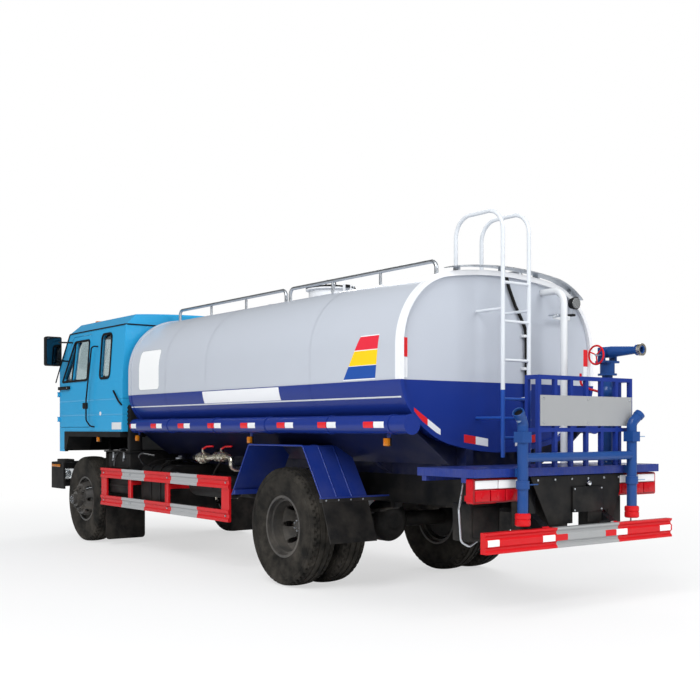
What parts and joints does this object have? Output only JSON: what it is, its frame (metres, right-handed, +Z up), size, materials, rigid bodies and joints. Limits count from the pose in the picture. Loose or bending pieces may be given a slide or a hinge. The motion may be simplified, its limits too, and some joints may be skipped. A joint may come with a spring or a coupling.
{
  "type": "tanker truck",
  "caption": "Two-axle water tanker with a tilting forward-control cab, oval tank, side guards, rear ladder, working platform, spray pipes and a swivelling water cannon.",
  "frame": {"origin": "on the ground, midway between the front bumper and the rear underrun bar, in the middle of the width", "axes": "+X towards the front bumper, +Y to the driver's left, +Z up"},
  "size_m": [8.3398, 2.9, 3.1674],
  "materials": {
    "chassis_black": "satin black chassis paint",
    "cast_iron_grey": "rough painted casting",
    "spring_steel": "painted spring steel",
    "black_plastic": "grained black plastic",
    "exhaust_steel": "aluminised steel",
    "lamp_clear": "clear moulded lens",
    "lamp_red": "red moulded lens",
    "guard_grey": "roll-formed guard with red and grey bands",
    "guard_red": "gloss red paint with a grey middle",
    "tank_blue": "gloss deep blue paint",
    "tank_grey": "gloss light grey paint over deep blue",
    "pipe_blue": "gloss mid blue paint",
    "galvanised_steel": "galvanised tube",
    "white_paint": "gloss white paint",
    "sign_grey": "satin grey plate",
    "cab_blue": "gloss light blue cab paint",
    "window_glass": "tinted clear glass",
    "seat_fabric": "woven seat cloth",
    "dash_plastic": "grained dash plastic",
    "tyre_rubber": "matte black rubber",
    "wheel_steel": "silver wheel paint"
  },
  "bodies": {
    "chassis": {"chassis_frame": "chassis_black", "engine_block": "cast_iron_grey", "front_axle_beam": "chassis_black", "rear_axle_housing": "chassis_black", "leaf_springs": "spring_steel", "propeller_shaft": "chassis_black", "fuel_tank": "chassis_black", "battery_box": "black_plastic", "air_reservoirs": "chassis_black", "exhaust_silencer": "exhaust_steel", "front_bumper": "black_plastic", "headlamps": "lamp_clear", "side_guards": "guard_grey", "rear_mudguards": "tank_blue", "rear_underrun_bar": "guard_red", "rear_panel": "chassis_black", "tail_lamps": "lamp_red", "tank_shell": "tank_grey", "tank_cradle": "tank_blue", "hose_tubes": "tank_blue", "tank_handrails": "galvanised_steel", "rear_ladder": "white_paint", "overflow_pipe": "white_paint", "rear_platform": "tank_blue", "platform_railing": "tank_blue", "railing_sign": "sign_grey", "sprinkler_pipes": "pipe_blue", "water_pump": "pipe_blue", "cannon_riser": "pipe_blue"},
    "cab": {"cab_shell": "cab_blue", "cab_glass": "window_glass", "cab_grille": "black_plastic", "cab_seats": "seat_fabric", "cab_dashboard": "dash_plastic", "steering_wheel": "black_plastic", "front_wheel_arches": "black_plastic", "cab_grab_handles": "black_plastic"},
    "door_left": {"door_left": "cab_blue", "door_glass_left": "window_glass", "mirror_left": "black_plastic"},
    "door_right": {"door_right": "cab_blue", "door_glass_right": "window_glass", "mirror_right": "black_plastic"},
    "knuckle_left": {"knuckle_left": "chassis_black"},
    "knuckle_right": {"knuckle_right": "chassis_black"},
    "tie_rod": {"tie_rod": "chassis_black"},
    "front_wheel_left": {"front_tyre_left": "tyre_rubber", "front_rim_left": "wheel_steel"},
    "front_wheel_right": {"front_tyre_right": "tyre_rubber", "front_rim_right": "wheel_steel"},
    "rear_wheels_left": {"rear_tyres_left": "tyre_rubber", "rear_rims_left": "wheel_steel"},
    "rear_wheels_right": {"rear_tyres_right": "tyre_rubber", "rear_rims_right": "wheel_steel"},
    "manhole_lid": {"manhole_lid": "black_plastic"},
    "cannon_swivel": {"cannon_swivel": "pipe_blue"},
    "cannon_barrel": {"cannon_barrel": "pipe_blue"}
  },
  "joints": [
    {"name": "steer_left", "type": "hinge", "parent": "chassis", "child": "knuckle_left", "pos_m": [2.89, 0.8, 0.527], "axis": [0, 0, 1], "range_deg": [-35, 35]},
    {"name": "steer_right", "type": "hinge", "parent": "chassis", "child": "knuckle_right", "pos_m": [2.89, -0.8, 0.527], "axis": [0, 0, 1], "range_deg": [-35, 35]},
    {"name": "tie_rod_ball", "type": "hinge", "parent": "knuckle_left", "child": "tie_rod", "pos_m": [2.66, 0.8, 0.414], "axis": [0, 0, 1], "range_deg": [-35, 35]},
    {"name": "front_wheel_left_spin", "type": "hinge", "parent": "knuckle_left", "child": "front_wheel_left", "pos_m": [2.89, 1.003, 0.527], "axis": [0, 1, 0], "continuous": true},
    {"name": "front_wheel_right_spin", "type": "hinge", "parent": "knuckle_right", "child": "front_wheel_right", "pos_m": [2.89, -1.003, 0.527], "axis": [0, 1, 0], "continuous": true},
    {"name": "rear_wheels_left_spin", "type": "hinge", "parent": "chassis", "child": "rear_wheels_left", "pos_m": [-1.71, 0.9, 0.527], "axis": [0, 1, 0], "continuous": true},
    {"name": "rear_wheels_right_spin", "type": "hinge", "parent": "chassis", "child": "rear_wheels_right", "pos_m": [-1.71, -0.9, 0.527], "axis": [0, 1, 0], "continuous": true},
    {"name": "cab_tilt", "type": "hinge", "parent": "chassis", "child": "cab", "pos_m": [3.79, 0, 1.056], "axis": [0, 1, 0], "range_deg": [0, 45]},
    {"name": "door_left_hinge", "type": "hinge", "parent": "cab", "child": "door_left", "pos_m": [3.635, 1.165, 1.66], "axis": [0, 0, -1], "range_deg": [0, 65]},
    {"name": "door_right_hinge", "type": "hinge", "parent": "cab", "child": "door_right", "pos_m": [3.635, -1.165, 1.66], "axis": [0, 0, 1], "range_deg": [0, 65]},
    {"name": "manhole_lid_hinge", "type": "hinge", "parent": "chassis", "child": "manhole_lid", "pos_m": [-1.09, 0, 2.8233], "axis": [0, -1, 0], "range_deg": [0, 110]},
    {"name": "cannon_turn", "type": "hinge", "parent": "chassis", "child": "cannon_swivel", "pos_m": [-3.81, -0.68, 1.86], "axis": [0, 0, 1], "range_deg": [-120, 120]},
    {"name": "cannon_raise", "type": "hinge", "parent": "cannon_swivel", "child": "cannon_barrel", "pos_m": [-3.81, -0.68, 2.03], "axis": [0, 1, 0], "range_deg": [-10, 60]}
  ],
  "couplings": [
    {"joint": "steer_right", "follows": "steer_left", "ratio": 1},
    {"joint": "tie_rod_ball", "follows": "steer_left", "ratio": -1}
  ]
}
